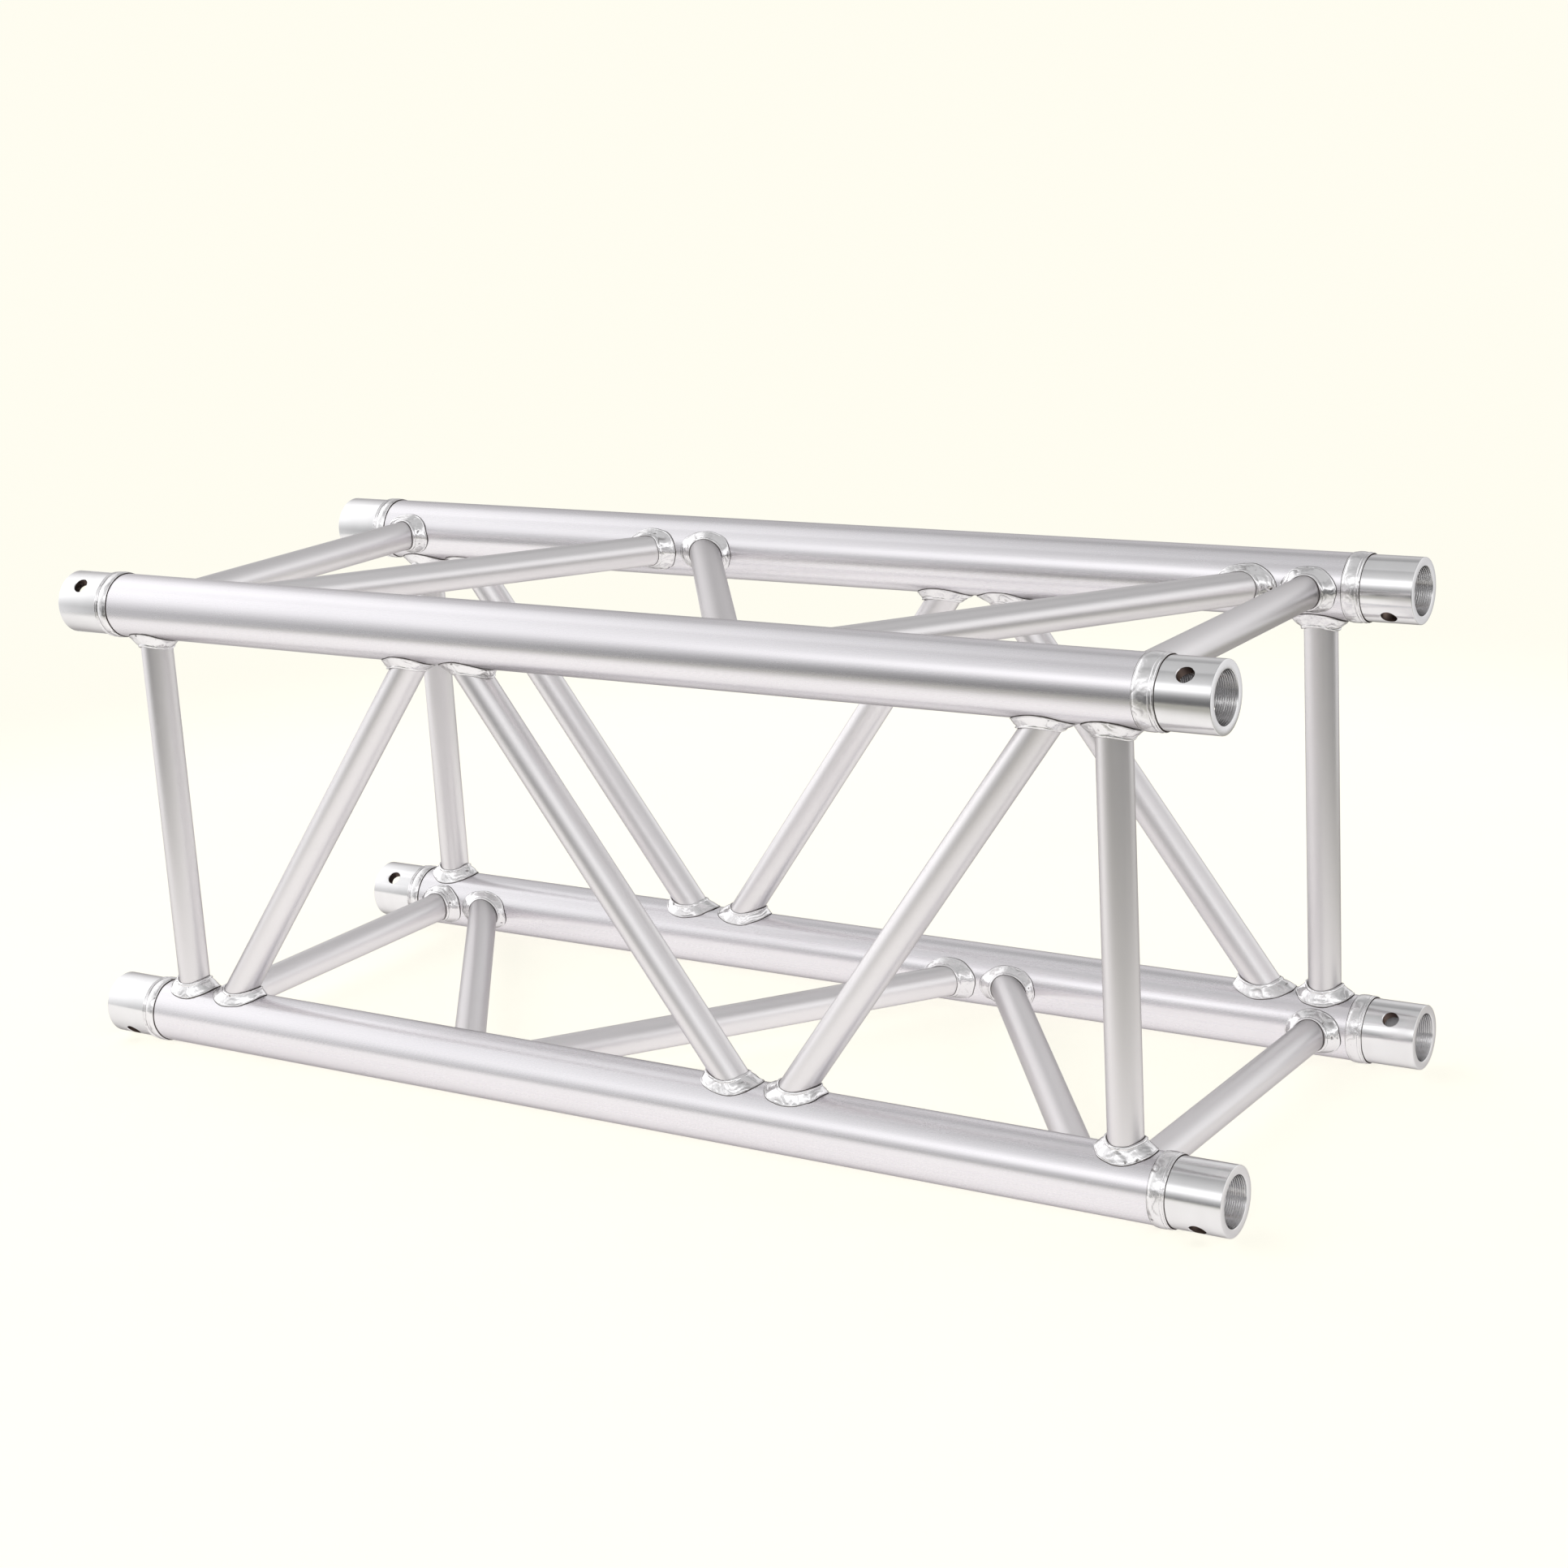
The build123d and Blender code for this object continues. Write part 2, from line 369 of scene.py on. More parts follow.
def finish_piece(bm, name, material, node, sharp_angle=32):
    """The mesh as a piece that stands for a CAD node, smooth except across its sharp edges."""
    for face in bm.faces:
        face.smooth = True
    for edge in bm.edges:
        edge.smooth = edge.calc_face_angle(0) < math.radians(sharp_angle)
    mesh = bpy.data.meshes.new(name)
    bm.to_mesh(mesh)
    bm.free()
    mesh.materials.append(material)
    piece = bpy.data.objects.new(name, mesh)
    bpy.context.scene.collection.objects.link(piece)
    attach(piece, "root")
    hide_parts(node)


def turn(outline, end, steps):
    """A closed outline of (x, radius) pairs turned about the X axis, with x counted towards an end."""
    bm = bmesh.new()
    verts = [bm.verts.new((x * end, 0, radius)) for x, radius in outline]
    edges = [bm.edges.new(pair) for pair in zip(verts, verts[1:] + verts[:1])]
    bmesh.ops.spin(bm, geom=verts + edges, cent=(0, 0, 0), axis=(1, 0, 0), dvec=(0, 0, 0),
                   angle=math.tau, steps=steps, use_merge=True, use_duplicate=False)
    bmesh.ops.remove_doubles(bm, verts=bm.verts, dist=MERGE)
    bmesh.ops.recalc_face_normals(bm, faces=bm.faces)
    return bm


def arc(centre, radius, start, stop, steps):
    """Points on an arc in an outline, angles in degrees."""
    angles = (math.radians(start + (stop - start) * i / steps) for i in range(steps + 1))
    return [(centre[0] + radius * math.cos(a), centre[1] + radius * math.sin(a)) for a in angles]


# ---- Chords ----
def build_chord(name):
    """Plain tube with a weld bevel at both ends."""
    inner = CHORD_RADIUS - CHORD_WALL
    outline = [
        (-CHORD_HALF_LENGTH, inner),
        (-CHORD_HALF_LENGTH, CHORD_RADIUS - WELD_PREP),
        (-CHORD_HALF_LENGTH + WELD_PREP, CHORD_RADIUS),
        (CHORD_HALF_LENGTH - WELD_PREP, CHORD_RADIUS),
        (CHORD_HALF_LENGTH, CHORD_RADIUS - WELD_PREP),
        (CHORD_HALF_LENGTH, inner),
    ]
    bm = turn(outline, 1, CHORD_STEPS)
    bmesh.ops.translate(bm, verts=bm.verts, vec=chord_centre(name))
    finish_piece(bm, f"chord_tube_{name}", CHORD_FINISH, f"chord_{name}")


# ---- Receivers ----
def receiver_outline():
    """Half section of a receiver from its spigot to its mouth, with soft edges at its mouth."""
    spigot_radius = CHORD_RADIUS - CHORD_WALL - SPIGOT_CLEARANCE
    spigot_end = RECEIVER_LOW.x
    edge = MOUTH_ROUND
    outline = [
        (spigot_end, THROUGH_RADIUS),
        (spigot_end, spigot_radius),
        (CHORD_HALF_LENGTH, spigot_radius),
        (CHORD_HALF_LENGTH, RECEIVER_RADIUS - WELD_PREP),
        (CHORD_HALF_LENGTH + WELD_PREP, RECEIVER_RADIUS),
    ]
    outline += arc((HALF_LENGTH - edge, RECEIVER_RADIUS - edge), edge, 90, 0, 4)
    outline += arc((HALF_LENGTH - edge, SOCKET_MOUTH_RADIUS + edge), edge, 360, 270, 4)
    taper = (SOCKET_MOUTH_RADIUS - SOCKET_FLOOR_RADIUS) / SOCKET_DEPTH
    grooves = int(SOCKET_DEPTH / BORE_GROOVE_PITCH) - 1
    groove_half = BORE_GROOVE_HALF_WIDTH
    for number in range(1, grooves + 1):
        for beside, cut in ((-groove_half, 0), (0, BORE_GROOVE_DEPTH), (groove_half, 0)):
            back = number * BORE_GROOVE_PITCH + beside
            outline.append((HALF_LENGTH - back, SOCKET_MOUTH_RADIUS - taper * back + cut))
    outline += [
        (HALF_LENGTH - SOCKET_DEPTH, SOCKET_FLOOR_RADIUS),
        (HALF_LENGTH - SOCKET_DEPTH, THROUGH_RADIUS),
    ]
    return outline


def pin_cutter(direction):
    """Drill for the cross-pin hole, with a bevel that breaks both edges of the hole."""
    sink_start = RECEIVER_RADIUS - PIN_HOLE_BEVEL
    sink_depth, sink_flare = 4 * MM + PIN_HOLE_BEVEL, 5 * MM
    reach = sink_start + sink_depth
    outline = [(-reach, PIN_RADIUS + sink_flare), (-sink_start, PIN_RADIUS), (sink_start, PIN_RADIUS),
               (reach, PIN_RADIUS + sink_flare)]
    bm = bmesh.new()
    verts = [bm.verts.new((x, 0, radius)) for x, radius in outline]
    edges = [bm.edges.new(pair) for pair in zip(verts, verts[1:])]
    bmesh.ops.spin(bm, geom=verts + edges, cent=(0, 0, 0), axis=(1, 0, 0), dvec=(0, 0, 0),
                   angle=math.tau, steps=PIN_HOLE_STEPS, use_merge=True, use_duplicate=False)
    bmesh.ops.remove_doubles(bm, verts=bm.verts, dist=MERGE)
    bmesh.ops.holes_fill(bm, edges=bm.edges, sides=0)
    bmesh.ops.recalc_face_normals(bm, faces=bm.faces)
    turn_to = Vector((1, 0, 0)).rotation_difference(direction).to_matrix()
    bmesh.ops.rotate(bm, verts=bm.verts, cent=(0, 0, 0), matrix=turn_to)
    return bm


def temporary_object(bm, name):
    """A mesh as an object that a modifier can use."""
    mesh = bpy.data.meshes.new(name)
    bm.to_mesh(mesh)
    bm.free()
    thing = bpy.data.objects.new(name, mesh)
    bpy.context.scene.collection.objects.link(thing)
    return thing


def build_receiver(name, end_name):
    """Turned receiver with its cross-pin hole drilled along the section's diagonal."""
    end = ENDS[end_name]
    side, level = CHORDS[name]
    blank = temporary_object(turn(receiver_outline(), end, RECEIVER_STEPS), "blank")
    drill_mesh = pin_cutter(Vector((0, side, level)).normalized())
    bmesh.ops.translate(drill_mesh, verts=drill_mesh.verts, vec=(end * PIN_X, 0, 0))
    drill = temporary_object(drill_mesh, "drill")
    cut = blank.modifiers.new("pin_hole", "BOOLEAN")
    cut.operation = "DIFFERENCE"
    cut.solver = "EXACT"
    cut.object = drill
    bpy.context.view_layer.update()
    drilled = blank.evaluated_get(bpy.context.evaluated_depsgraph_get())
    bm = bmesh.new()
    bm.from_mesh(drilled.to_mesh())
    bpy.data.objects.remove(blank)
    bpy.data.objects.remove(drill)
    bmesh.ops.remove_doubles(bm, verts=bm.verts, dist=2 * MERGE)
    drilled_faces = bm.faces.layers.float.new("drilled")
    bored_faces = bm.faces.layers.float.new("bored")
    pin_line = Vector((0, side, level)).normalized()
    pin_middle = Vector((end * PIN_X, 0, 0))
    for face in bm.faces:
        reach = max((v.co - pin_middle).cross(pin_line).length for v in face.verts)
        face[drilled_faces] = 1.0 if reach < PIN_RADIUS * 1.01 else 0.0
        spread = max(math.hypot(v.co.y, v.co.z) for v in face.verts)
        face[bored_faces] = 1.0 if spread < SOCKET_MOUTH_RADIUS + 0.2 * MM else 0.0
    bmesh.ops.translate(bm, verts=bm.verts, vec=chord_centre(name))
    finish_piece(bm, f"turned_receiver_{name}_{end_name}", RECEIVER_FINISH,
                 f"receiver_{name}_{end_name}", sharp_angle=20)


for chord_name in CHORDS:
    build_chord(chord_name)
    for end_name in ENDS:
        build_receiver(chord_name, end_name)


# ---- Weld metal ----
def smooth_path(points, steps):
    """Catmull-Rom curve through (a, b) pairs, with this many steps from each pair to the next."""
    ends = [points[0], *points, points[-1]]
    path = []
    for before, start, stop, after in zip(ends, ends[1:], ends[2:], ends[3:]):
        for step in range(steps):
            t = step / steps
            weights = (-t + 2 * t**2 - t**3, 2 - 5 * t**2 + 3 * t**3, t + 4 * t**2 - 3 * t**3, t**3 - t**2)
            path.append(tuple(sum(w * p[axis] for w, p in zip(weights, (before, start, stop, after))) / 2
                              for axis in (0, 1)))
    path.append(points[-1])
    return path


# Unevenness of weld metal: noise frequency for each millimetre, and how far it moves the surface in millimetres
SWELL_FREQUENCY, SWELL = 0.14, 0.40
WRINKLE_FREQUENCY, WRINKLE = 0.6, 0.10
RIDGES_ACROSS, RIDGE = 3.4, 0.18        # frozen ridges along the bead
RIDGE_WANDER_FREQUENCY, RIDGE_WANDER = 0.11, 1.6
RIDGE_SHARE_FREQUENCY = 0.09
PIT_FREQUENCY, PIT_THRESHOLD, PIT_GAIN, PIT = 0.26, 0.60, 6.0, 0.5
CREASE_START, CREASE_GAIN = 0.10, 6     # how low between the ridges the soot and painted shade start, and how fast they darken
MOST_SOOT_AND_SHADE = 0.7


def pit_depth(where, seed):
    """Depth of the small pits and weld stops at a point, from 0 to about 1."""
    field = noise.noise(where * PIT_FREQUENCY + Vector((seed * 17.0, 7, 3)))
    return min(1.0, max(0.0, field - PIT_THRESHOLD) * PIT_GAIN)


def weld_unevenness(point, along, seed):
    """How far weld metal stands proud of its plain form here, in metres, and how dark it is with soot and
    painted shade in its pits and creases, 0 to 1.

    along is the place across the bead, from 0 to 1: ridges where the metal froze run along the bead.
    """
    where = point / MM + Vector((seed * 37.0, seed * 11.0, seed * 5.0))
    swell = noise.noise(where * SWELL_FREQUENCY) * SWELL
    wander = noise.noise(where * RIDGE_WANDER_FREQUENCY + Vector((3, 8, 1))) * RIDGE_WANDER
    ridge_share = 0.5 + noise.noise(where * RIDGE_SHARE_FREQUENCY + Vector((50, 2, 9)))
    ridges = math.sin((along * RIDGES_ACROSS + wander) * math.tau) * RIDGE * max(0.0, ridge_share)
    wrinkle = noise.noise(where * WRINKLE_FREQUENCY) * WRINKLE
    pit = pit_depth(where, seed)
    # Soot and painted shade darken the creases between the ridges and the pits
    crease = max(0.0, -ridges - CREASE_START) * CREASE_GAIN
    return (swell + ridges + wrinkle - pit * PIT) * MM, min(MOST_SOOT_AND_SHADE, pit + crease)


# How much of each ring's width in the frame the weld covers, where a ring is broader than the rest
BROAD_RINGS = {"top_front_right": 1.25, "top_back_right": 1.12}

# A ring from its edge on the receiver to its edge on the chord: share of the width, share of the height
RING_CROSSING = [
    (1.00, 0.00), (0.995, 0.35), (0.96, 0.70), (0.91, 0.66), (0.885, 0.52), (0.86, 0.66), (0.81, 0.88),
    (0.76, 0.80), (0.73, 0.48), (0.70, 0.52), (0.63, 0.78), (0.52, 0.95), (0.40, 1.00), (0.28, 0.96),
    (0.18, 0.84), (0.115, 0.62), (0.095, 0.55), (0.07, 0.62), (0.03, 0.50), (0.005, 0.25), (0.00, 0.00),
]
RING_TOES = (0.035, 0.985)      # shares of the width outside which it is dark with soot and painted shade
RING_SINK = 0.05 * MM           # how far the ring reaches into the tubes
RING_PATTERN_WIDTH = 0.6        # of a bead's pattern of ridges, laid across a ring
RING_FREE_HEIGHT = 0.7 * MM     # above the chord, where the ring's unevenness is full
RING_UNEVENNESS = 0.45          # of a bead's
RING_SETTLE = 0.15 * MM         # what is taken off before that, so that the crown stays highest
RING_WAVER_FREQUENCY = 2.2
RING_WAVER = 0.9 * MM           # of its edges, along the chord


def ring_outline(width_share):
    """Half section of a weld ring: root in the joint, a broad band, a narrow ridge beside the receiver."""
    middle = (RING_LOW.x + RING_HIGH.x) / 2
    half_width = (RING_HIGH.x - RING_LOW.x) / 2 * width_share
    inner_edge, outer_edge = middle - half_width, middle + half_width
    crown = (RING_HIGH.z - RING_LOW.z) / 2
    outline = [
        (inner_edge, CHORD_RADIUS - RING_SINK),
        (CHORD_HALF_LENGTH - WELD_PREP, CHORD_RADIUS - RING_SINK),
        (CHORD_HALF_LENGTH, CHORD_RADIUS - WELD_PREP),
        (CHORD_HALF_LENGTH + WELD_PREP, RECEIVER_RADIUS - RING_SINK),
        (outer_edge, RECEIVER_RADIUS - RING_SINK),
    ]
    for along, height in smooth_path(RING_CROSSING, 2):
        base = CHORD_RADIUS + (RECEIVER_RADIUS - CHORD_RADIUS) * min(1.0, max(0.0, along * 2 - 0.5))
        x = inner_edge + along * (outer_edge - inner_edge)
        outline.append((x, base + max(0.01, height) * (crown - base)))
    return outline


def build_ring(name, end_name, seed):
    """Ring of weld between chord and receiver, uneven all round and wavering a little along its edges."""
    end = ENDS[end_name]
    width_share = BROAD_RINGS.get(f"{name}_{end_name}", 1.0)
    bm = turn(ring_outline(width_share), end, RING_STEPS)
    soot_and_shade = bm.verts.layers.float.new("soot_and_shade")
    middle = (RING_LOW.x + RING_HIGH.x) / 2 * end
    half_width = (RING_HIGH.x - RING_LOW.x) / 2 * width_share
    for vert in bm.verts:
        spoke = Vector((0, vert.co.y, vert.co.z))
        across = (vert.co.x - middle) / half_width * end
        push, soot_and_shade_amount = weld_unevenness(vert.co, (across + 1) / 2 * RING_PATTERN_WIDTH, seed)
        proud = max(0.0, min(1.0, (spoke.length - CHORD_RADIUS) / RING_FREE_HEIGHT))
        around = spoke.normalized() * RING_WAVER_FREQUENCY
        waver = noise.noise(Vector((around.y, around.z, seed * 1.7))) * RING_WAVER
        vert.co += spoke.normalized() * (min(0.0, push - RING_SETTLE) * RING_UNEVENNESS * proud)
        vert.co.x += waver * (1.0 - 0.4 * abs(across)) * proud - abs(waver) * 0.3 * across * end
        # The ring's edges on the tubes are painted dark with soot and painted shade
        toe = 0.0 if RING_TOES[0] < (across + 1) / 2 < RING_TOES[1] else 1.0
        vert[soot_and_shade] = max(soot_and_shade_amount * proud, toe)
    bmesh.ops.translate(bm, verts=bm.verts, vec=chord_centre(name))
    finish_piece(bm, f"weld_ring_{name}_{end_name}", WELD_FINISH,
                 f"ring_weld_{name}_{end_name}", sharp_angle=75)


# ---- Braces and their welds ----
END_BEAD_HALF = 22.8 * MM       # half lengths of the beads along the chord
DIAGONAL_BEAD_HALF = 25.2 * MM
BEAD_WRAP = math.radians(43.5)  # how far round the chord a bead reaches
BEAD_RISE = 8.0 * MM            # and how far up the brace


class Foot:
    """Where a brace stands on a chord: local X along the chord, T across it, H towards the other chord."""

    def __init__(self, chord, x, toward, slope):
        self.chord = chord
        self.x = x
        self.toward = toward
        self.across = toward.cross(Vector((1, 0, 0)))
        self.axis = (Vector((slope, 0, 0)) + toward).normalized()
        self.lean = self.axis.cross(self.across).normalized()
        if self.lean.x < 0:
            self.lean.negate()
        self.base = chord_centre(chord, x) + toward * CHORD_RADIUS

    def on_brace(self, angle, rise):
        """Point on the brace's surface at an angle round it, this far above the saddle line."""
        spoke = self.lean * math.cos(angle) + self.across * math.sin(angle)
        start = self.base + spoke * BRACE_RADIUS
        return start + self.axis * (self.distance_to_chord(start) + rise)

    def distance_to_chord(self, point):
        """How far along the brace's axis from point the chord's surface is met."""
        offset = point - chord_centre(self.chord, self.x)
        side = offset.dot(self.across)
        height = math.sqrt(CHORD_RADIUS**2 - side**2)
        return (height - offset.dot(self.toward)) / self.axis.dot(self.toward)

    def on_chord(self, angle, half_length, wrap):
        """Point on the chord's surface on the bead's outer edge."""
        turn_round = wrap * math.sin(angle)
        normal = self.toward * math.cos(turn_round) + self.across * math.sin(turn_round)
        centre = chord_centre(self.chord, self.x + half_length * math.cos(angle))
        return centre + normal * CHORD_RADIUS


def feet_of(node, face_name, lean):
    """The two feet of a brace, read from its weld node's box."""
    low, high = (Vector(corner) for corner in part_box(f"{node}_welds"))
    half_length = END_BEAD_HALF if lean == 0 else DIAGONAL_BEAD_HALF
    first_chord, second_chord = FACES[face_name]
    left, right = low.x + half_length, high.x - half_length
    first_x, second_x = (left, right) if lean >= 0 else (right, left)
    across = (chord_centre(second_chord) - chord_centre(first_chord)).normalized()
    clear = 2 * HALF_SPACING - 2 * CHORD_RADIUS
    slope = (second_x - first_x) / clear
    return (Foot(first_chord, first_x, across, slope), Foot(second_chord, second_x, -across, -slope))


def build_brace(node, feet):
    """Round tube coped to both chords, with its own lengthwise coordinates for the draw lines."""
    first, second = feet
    run = second.base - first.base
    half = run.length / 2
    inner = BRACE_RADIUS - BRACE_WALL
    outline = [(-half, inner), (-half, BRACE_RADIUS), (half, BRACE_RADIUS), (half, inner)]
    bm = turn(outline, 1, BRACE_STEPS)
    along = bm.verts.layers.float_vector.new("along_tube")
    run.normalize()
    turn_to = Matrix((run, first.across, run.cross(first.across))).transposed()
    middle = (first.base + second.base) / 2
    for vert in bm.verts:
        nearer = first if vert.co.x < 0 else second
        local = vert.co.copy()
        vert.co = turn_to @ local + middle
        vert.co += nearer.axis * nearer.distance_to_chord(vert.co)
        local.x = (vert.co - middle).dot(run)
        vert[along] = local
    finish_piece(bm, f"tube_{node}", BRACE_FINISH, node, sharp_angle=40)


# A bead from the brace to its toe on the chord: shares of the way up the brace and out along the chord
BEAD_PROFILE = [
    (0.99, -0.02), (1.03, 0.06), (1.05, 0.15), (1.00, 0.235), (0.91, 0.265), (0.83, 0.245), (0.79, 0.27),
    (0.72, 0.37), (0.60, 0.50), (0.48, 0.62), (0.37, 0.73), (0.27, 0.82), (0.20, 0.88), (0.165, 0.915),
    (0.165, 0.95), (0.14, 0.99), (0.08, 1.015), (0.02, 1.01), (-0.03, 0.99),
]
BEAD_STEPS = 2                  # curve steps from each pair to the next
BEAD_AROUND = 168               # steps round the brace
BEAD_REACH = 0.97               # mean reach of the bead's edge on the chord, as a share of its half length
TOE_WAVER_FREQUENCY, TOE_WAVER = 1.9, 0.05      # of the bead's edge on the chord, as a share of its reach
TOP_WAVER_FREQUENCY, TOP_WAVER = 1.4, 0.10      # and of its edge on the brace, as a share of its rise
TOP_SOOT_AND_SHADE_FADE, TOE_SOOT_AND_SHADE_FADE = 0.045, 0.075     # shares of the bead's width over which its soot and painted shade fade


def bead_soot_and_shade(share):
    """Soot and painted shade on the bead's two edges, where it meets the brace and the chord."""
    at_brace = 2.0 - share / TOP_SOOT_AND_SHADE_FADE
    at_chord = 2.2 - (1 - share) / TOE_SOOT_AND_SHADE_FADE
    return max(0.0, min(1.0, at_brace), min(1.0, at_chord))


def build_foot_welds(node, feet, half_length, seed):
    """The beads around both feet of a brace: a collar on the brace, an uneven skirt, a lip on the chord."""
    path = smooth_path(BEAD_PROFILE, BEAD_STEPS)
    last = len(path) - 1
    bm = bmesh.new()
    soot_and_shade = bm.verts.layers.float.new("soot_and_shade")
    for number, foot in enumerate(feet):
        grid = bmesh.ops.create_grid(bm, x_segments=BEAD_AROUND, y_segments=last + 1, size=0.5)
        for vert in grid["verts"]:
            angle = (vert.co.x + 0.5) % 1.0 * math.tau
            step = round((vert.co.y + 0.5) * (last + 1)) % (last + 1)
            up, out = path[step]
            share = step / last
            turn_vector = Vector((math.cos(angle), math.sin(angle), seed * 1.3 + number * 9))
            toe_waver = noise.noise(turn_vector * TOE_WAVER_FREQUENCY) * TOE_WAVER
            top_waver = noise.noise(turn_vector * TOP_WAVER_FREQUENCY + Vector((0, 0, 4.5))) * TOP_WAVER
            reach = half_length * (BEAD_REACH + toe_waver)
            wrap = BEAD_WRAP * (1 + toe_waver)
            rise = BEAD_RISE * (1 + top_waver)
            corner = foot.on_brace(angle, 0.0)
            top = foot.on_brace(angle, rise)
            toe = foot.on_chord(angle, reach, wrap)
            point = corner + (top - corner) * up + (toe - corner) * out
            outward = ((top - corner).normalized() + (toe - corner).normalized()).normalized()
            push, soot_and_shade_amount = weld_unevenness(point, share, seed + number * 3)
            free = min(1.0, 6 * share, 6 * (1 - share))     # the bead's edges stay on the tubes
            vert.co = point + outward * push * free
            # Soot and painted shade darken the bead's pits, creases and both edges
            vert[soot_and_shade] = max(soot_and_shade_amount * free, bead_soot_and_shade(share))
    bmesh.ops.remove_doubles(bm, verts=bm.verts, dist=2 * MERGE)
    bmesh.ops.recalc_face_normals(bm, faces=bm.faces)
    finish_piece(bm, f"weld_{node}", WELD_FINISH, f"{node}_welds", sharp_angle=75)


seed = 1
for chord_name in CHORDS:
    for end_name in ENDS:
        build_ring(chord_name, end_name, seed)
        seed += 1

for face_name in FACES:
    square_on = "upright" if face_name in ("front", "back") else "strut"
    braces = [(f"{square_on}_{face_name}_{end_name}", 0) for end_name in ENDS]
    braces += [(f"diagonal_{face_name}_{place}", lean) for place, lean in DIAGONAL_LEAN.items()]
    for node, lean in braces:
        feet = feet_of(node, face_name, lean)
        build_brace(node, feet)
        build_foot_welds(node, feet, DIAGONAL_BEAD_HALF if lean else END_BEAD_HALF, seed)
        seed += 1


# ---- Floor, light and camera ----
CREAM = (1.0, 0.983, 0.877, 1)
NEUTRAL = (0.99, 0.97, 1.0, 1)
FLOOR_RADIUS = 1.75
FLOOR_FADE = (1.05, 1.65)       # radii between which the floor fades out for the camera
FLOOR_GLOW_FADE = (0.54, 0.98)  # and as the aluminium sees it, where its glow is an oval towards the left
FLOOR_GLOW_SQUASH = (0.55, 1, 1)
FLOOR_GLOW_SHIFT = (0.30, 0, 0)
FLOOR_GLOW = 0.60
FLOOR_GLOW_SEEN = 0.64          # the same to the camera, and even
FLOOR_TINTS = ((0.56, 0.55, 0.495, 1), (0.58, 0.57, 0.515, 1))


def distance_from_middle(tree, squash=(1, 1, 1), shift=(0, 0, 0)):
    """How far a point of the floor is from its middle, or from the middle of a longer, shifted oval."""
    place = add_node(tree, "ShaderNodeVectorMath", operation="MULTIPLY_ADD")
    for socket, value in zip(place.inputs, (object_vector(tree), squash, shift)):
        feed(tree, socket, value)
    length = add_node(tree, "ShaderNodeVectorMath", operation="LENGTH")
    tree.links.new(place.outputs[0], length.inputs[0])
    return length.outputs["Value"]


def build_floor():
    """Pale light table that the section stands on; it fades out into the surround."""
    bm = bmesh.new()
    bmesh.ops.create_circle(bm, cap_ends=True, segments=96, radius=FLOOR_RADIUS)
    mesh = bpy.data.meshes.new("floor")
    bm.to_mesh(mesh)
    bm.free()
    floor = bpy.data.objects.new("floor", mesh)
    floor.location.z = cad_box[0][2]
    bpy.context.scene.collection.objects.link(floor)
    material, tree, shader = new_material("floor_paint")
    seen = add_node(tree, "ShaderNodeLightPath").outputs["Is Camera Ray"]
    oval = distance_from_middle(tree, FLOOR_GLOW_SQUASH, FLOOR_GLOW_SHIFT)
    aluminium_sees = map_range(tree, oval, *FLOOR_GLOW_FADE, FLOOR_GLOW, 0.0, "SMOOTHSTEP")
    tree.links.new(mix_values(tree, seen, aluminium_sees, FLOOR_GLOW_SEEN), shader.inputs["Emission Strength"])
    alpha = map_range(tree, distance_from_middle(tree), *FLOOR_FADE, 1.0, 0.0, "SMOOTHSTEP")
    tree.links.new(alpha, shader.inputs["Alpha"])
    grain = stretched_noise(tree, object_vector(tree), (1, 1, 1), 14.0)
    tree.links.new(mix_colours(tree, grain, *FLOOR_TINTS), shader.inputs["Base Color"])
    tree.links.new(mix_colours(tree, seen, NEUTRAL, CREAM), shader.inputs["Emission Color"])
    shader.inputs["Metallic"].default_value = 0.0
    shader.inputs["Specular IOR Level"].default_value = 0.0
    shader.inputs["Specular Tint"].default_value = (1, 1, 1, 1)
    shader.inputs["Roughness"].default_value = 0.9
    mesh.materials.append(material)


# Light from each direction round the section's long axis: degrees from the front horizon, up over the
# top to the back horizon at 180, and its brightness.  Three rows: ahead, part of the way towards the
# left-hand end, and at the left
SURROUND_AHEAD = [
    (-180, 1.10), (-160, 1.00), (-140, 0.58), (-95, 0.26), (-40, 0.15), (-8, 0.15), (4, 0.29), (15, 0.66),
    (27, 1.40), (36, 1.36), (46, 0.74), (66, 0.56), (84, 0.38), (112, 0.36), (124, 0.40), (137, 0.54),
    (149, 0.90), (162, 1.12), (180, 1.12),
]
SURROUND_PART_LEFT = [
    (-180, 1.00), (-150, 0.90), (-95, 0.50), (-40, 0.28), (-8, 0.32), (4, 0.46), (16, 0.63), (27, 0.78),
    (36, 0.88), (50, 0.92), (76, 0.87), (100, 0.74), (118, 0.62), (137, 0.70), (152, 0.92), (180, 1.04),
]
SURROUND_LEFT = [
    (-180, 1.35), (-140, 1.20), (-95, 1.00), (-40, 0.68), (-8, 0.56), (4, 0.68), (16, 0.84), (27, 1.00),
    (44, 1.18), (60, 1.32), (100, 1.32), (180, 1.40),
]
# Where each takes over, by how far a direction points along X
LEFT_TURNS = ((SURROUND_PART_LEFT, -0.46, -0.56), (SURROUND_LEFT, -0.57, -0.74))
FAR_LEFT_TURN = (-0.74, -0.93)
LEFT_WALL = 0.45                # added at the very left
RIGHT_TURN = (0.60, 0.93)
RIGHT_WALL = (0.16, 1.20)       # levels towards the right-hand end, below and above the horizon
WALL_RISE = (-0.02, 0.22)       # how far a direction points up, from one of them to the other


def grey(level):
    return (level, level, level, 1)


def smooth_step(tree, value, start, stop):
    """0 to 1 as a value goes from start to stop, eased at both ends."""
    return map_range(tree, value, start, stop, interpolation="SMOOTHSTEP")


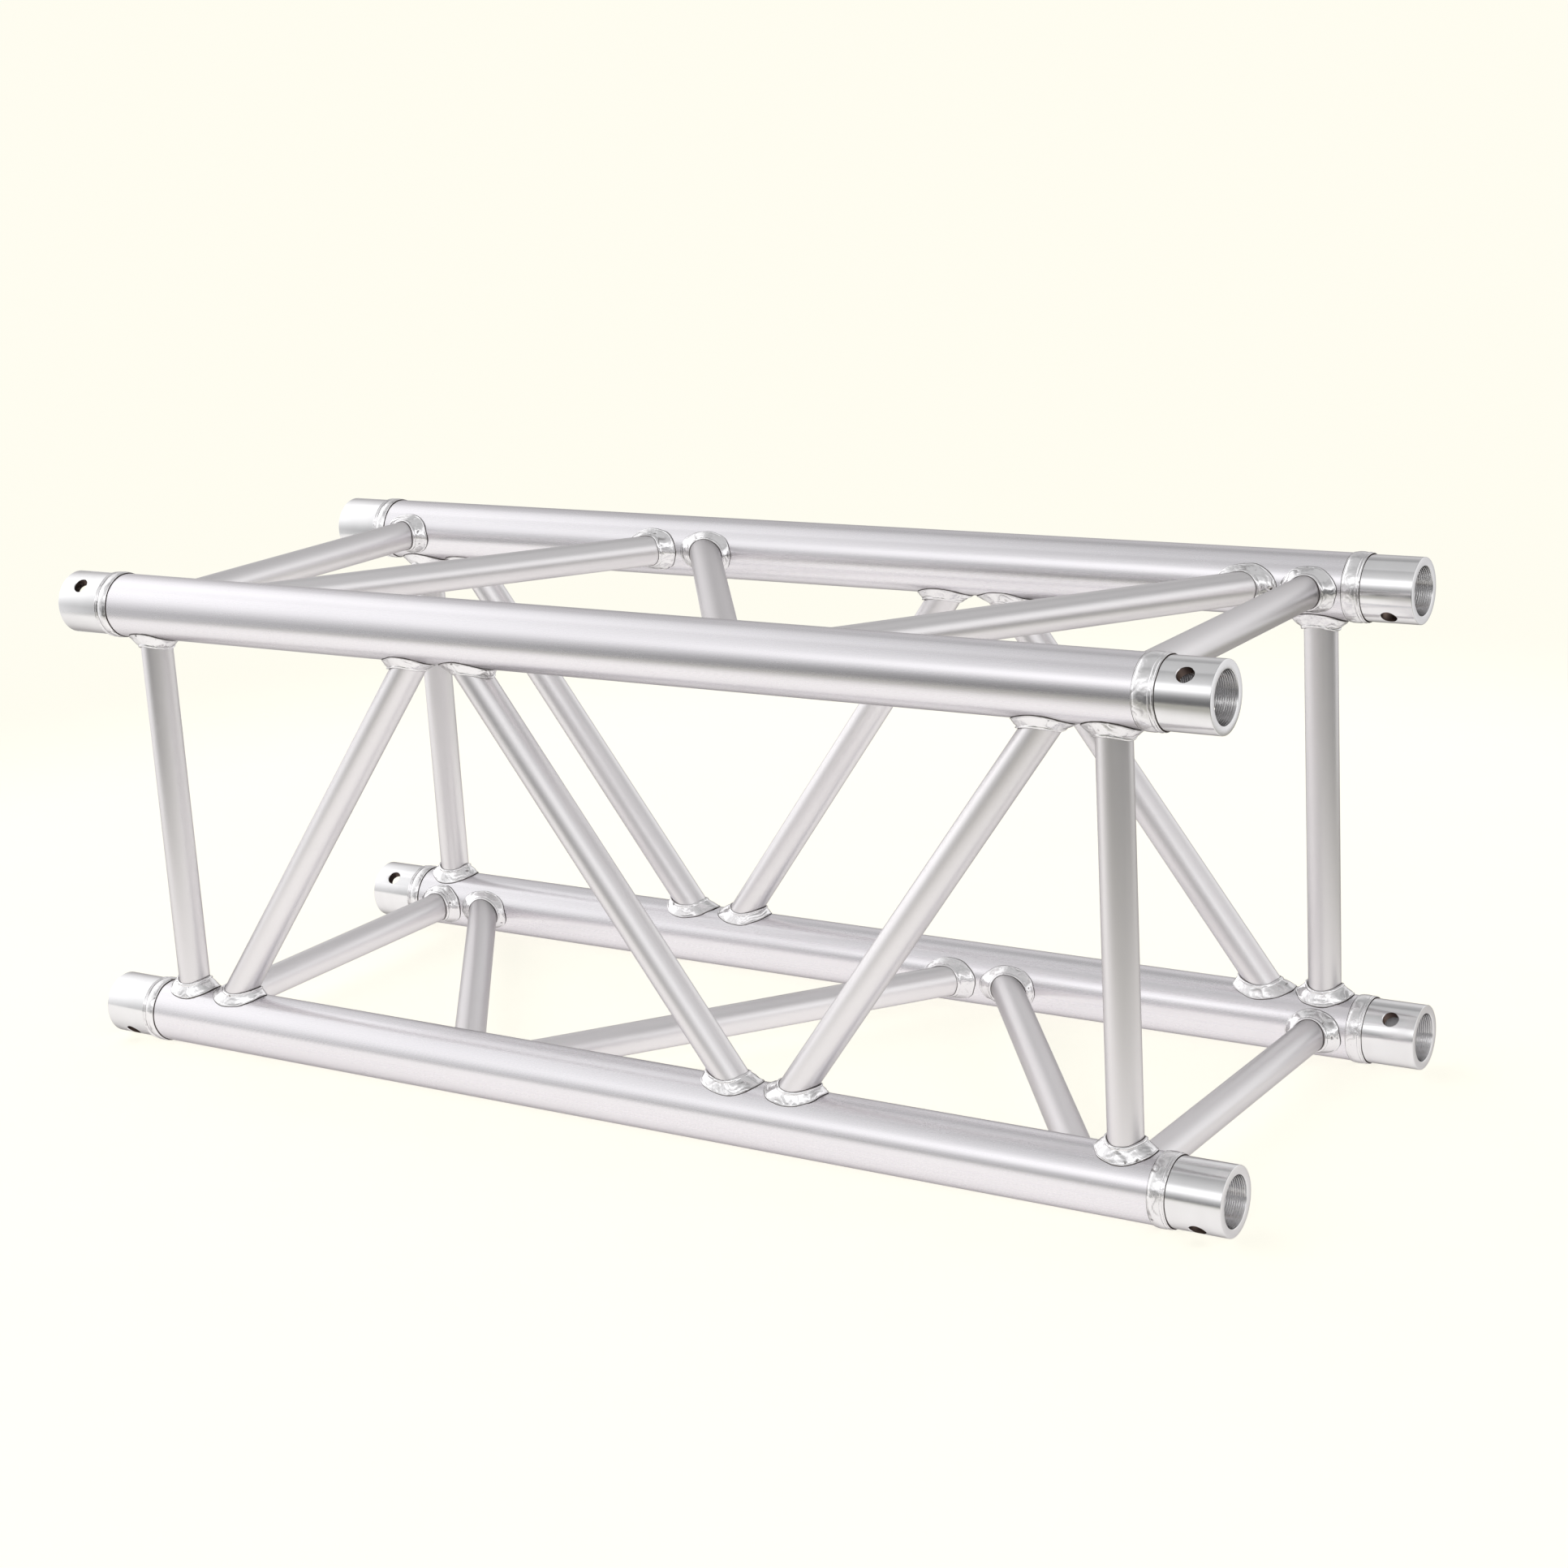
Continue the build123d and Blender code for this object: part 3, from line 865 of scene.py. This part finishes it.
def surround_row(tree, share, row):
    """Brightness read from a row of levels, by the share of the turn round the long axis."""
    ramp = add_node(tree, "ShaderNodeValToRGB")
    tree.links.new(share, ramp.inputs[0])
    elements = ramp.color_ramp.elements
    while len(elements) < len(row):
        elements.new(0.5)
    for element, (angle, level) in zip(elements, row):
        element.position = (angle + 180) / 360
        element.color = grey(level)
    return ramp.outputs[0]


def build_world():
    """Studio surround: plain and pale to the camera; panels and a long strip light to the aluminium."""
    world = bpy.data.worlds.new("studio")
    bpy.context.scene.world = world
    world.use_nodes = True
    tree = world.node_tree
    tree.nodes.clear()
    split = add_node(tree, "ShaderNodeSeparateXYZ")
    tree.links.new(tree.nodes.new("ShaderNodeTexCoord").outputs["Generated"], split.inputs[0])
    x, y, z = split.outputs
    round_axis = calculate(tree, "ARCTAN2", z, calculate(tree, "MULTIPLY", y, -1))
    share = map_range(tree, round_axis, -math.pi, math.pi)
    level = surround_row(tree, share, SURROUND_AHEAD)
    for row, start, stop in LEFT_TURNS:
        level = mix_colours(tree, smooth_step(tree, x, start, stop), level, surround_row(tree, share, row))
    wall = mix_colours(tree, smooth_step(tree, z, *WALL_RISE), *(grey(shade) for shade in RIGHT_WALL))
    level = mix_colours(tree, smooth_step(tree, x, *RIGHT_TURN), level, wall)
    level = mix_colours(tree, smooth_step(tree, x, *FAR_LEFT_TURN), level, grey(LEFT_WALL), "ADD")
    seen = add_node(tree, "ShaderNodeLightPath").outputs["Is Camera Ray"]
    shade = add_node(tree, "ShaderNodeBackground")
    output = tree.nodes.new("ShaderNodeOutputWorld")
    tree.links.new(mix_colours(tree, seen, level, CREAM), shade.inputs["Color"])
    tree.links.new(shade.outputs[0], output.inputs["Surface"])


def add_softbox(name, place, aim, width, height, power):
    """Rectangular soft light at a place, facing a point."""
    light = bpy.data.lights.new(name, "AREA")
    light.shape = "RECTANGLE"
    light.size = width
    light.size_y = height
    light.energy = power
    lamp = bpy.data.objects.new(name, light)
    lamp.location = place
    lamp.rotation_euler = (Vector(aim) - Vector(place)).to_track_quat("-Z", "Y").to_euler()
    bpy.context.scene.collection.objects.link(lamp)


CAMERA_PLACE = (1.262, -1.835, 0.616)
CAMERA_TURN = (74.97, 3.25, 32.50)      # degrees
CAMERA_LENS = 68.4                      # mm on a 36 mm sensor


def build_camera():
    camera = bpy.data.cameras.new("camera")
    camera.lens = CAMERA_LENS
    camera.sensor_width = 36
    view = bpy.data.objects.new("camera", camera)
    view.location = CAMERA_PLACE
    view.rotation_euler = [math.radians(angle) for angle in CAMERA_TURN]
    bpy.context.scene.collection.objects.link(view)
    bpy.context.scene.camera = view


build_floor()
build_world()
add_softbox("overhead_softbox", place=(-1.0, 0.6, 3.2), aim=(-1.0, 0.6, 0), width=5.6, height=2.4, power=9.5)
build_camera()
bpy.context.scene.view_settings.view_transform = "Standard"
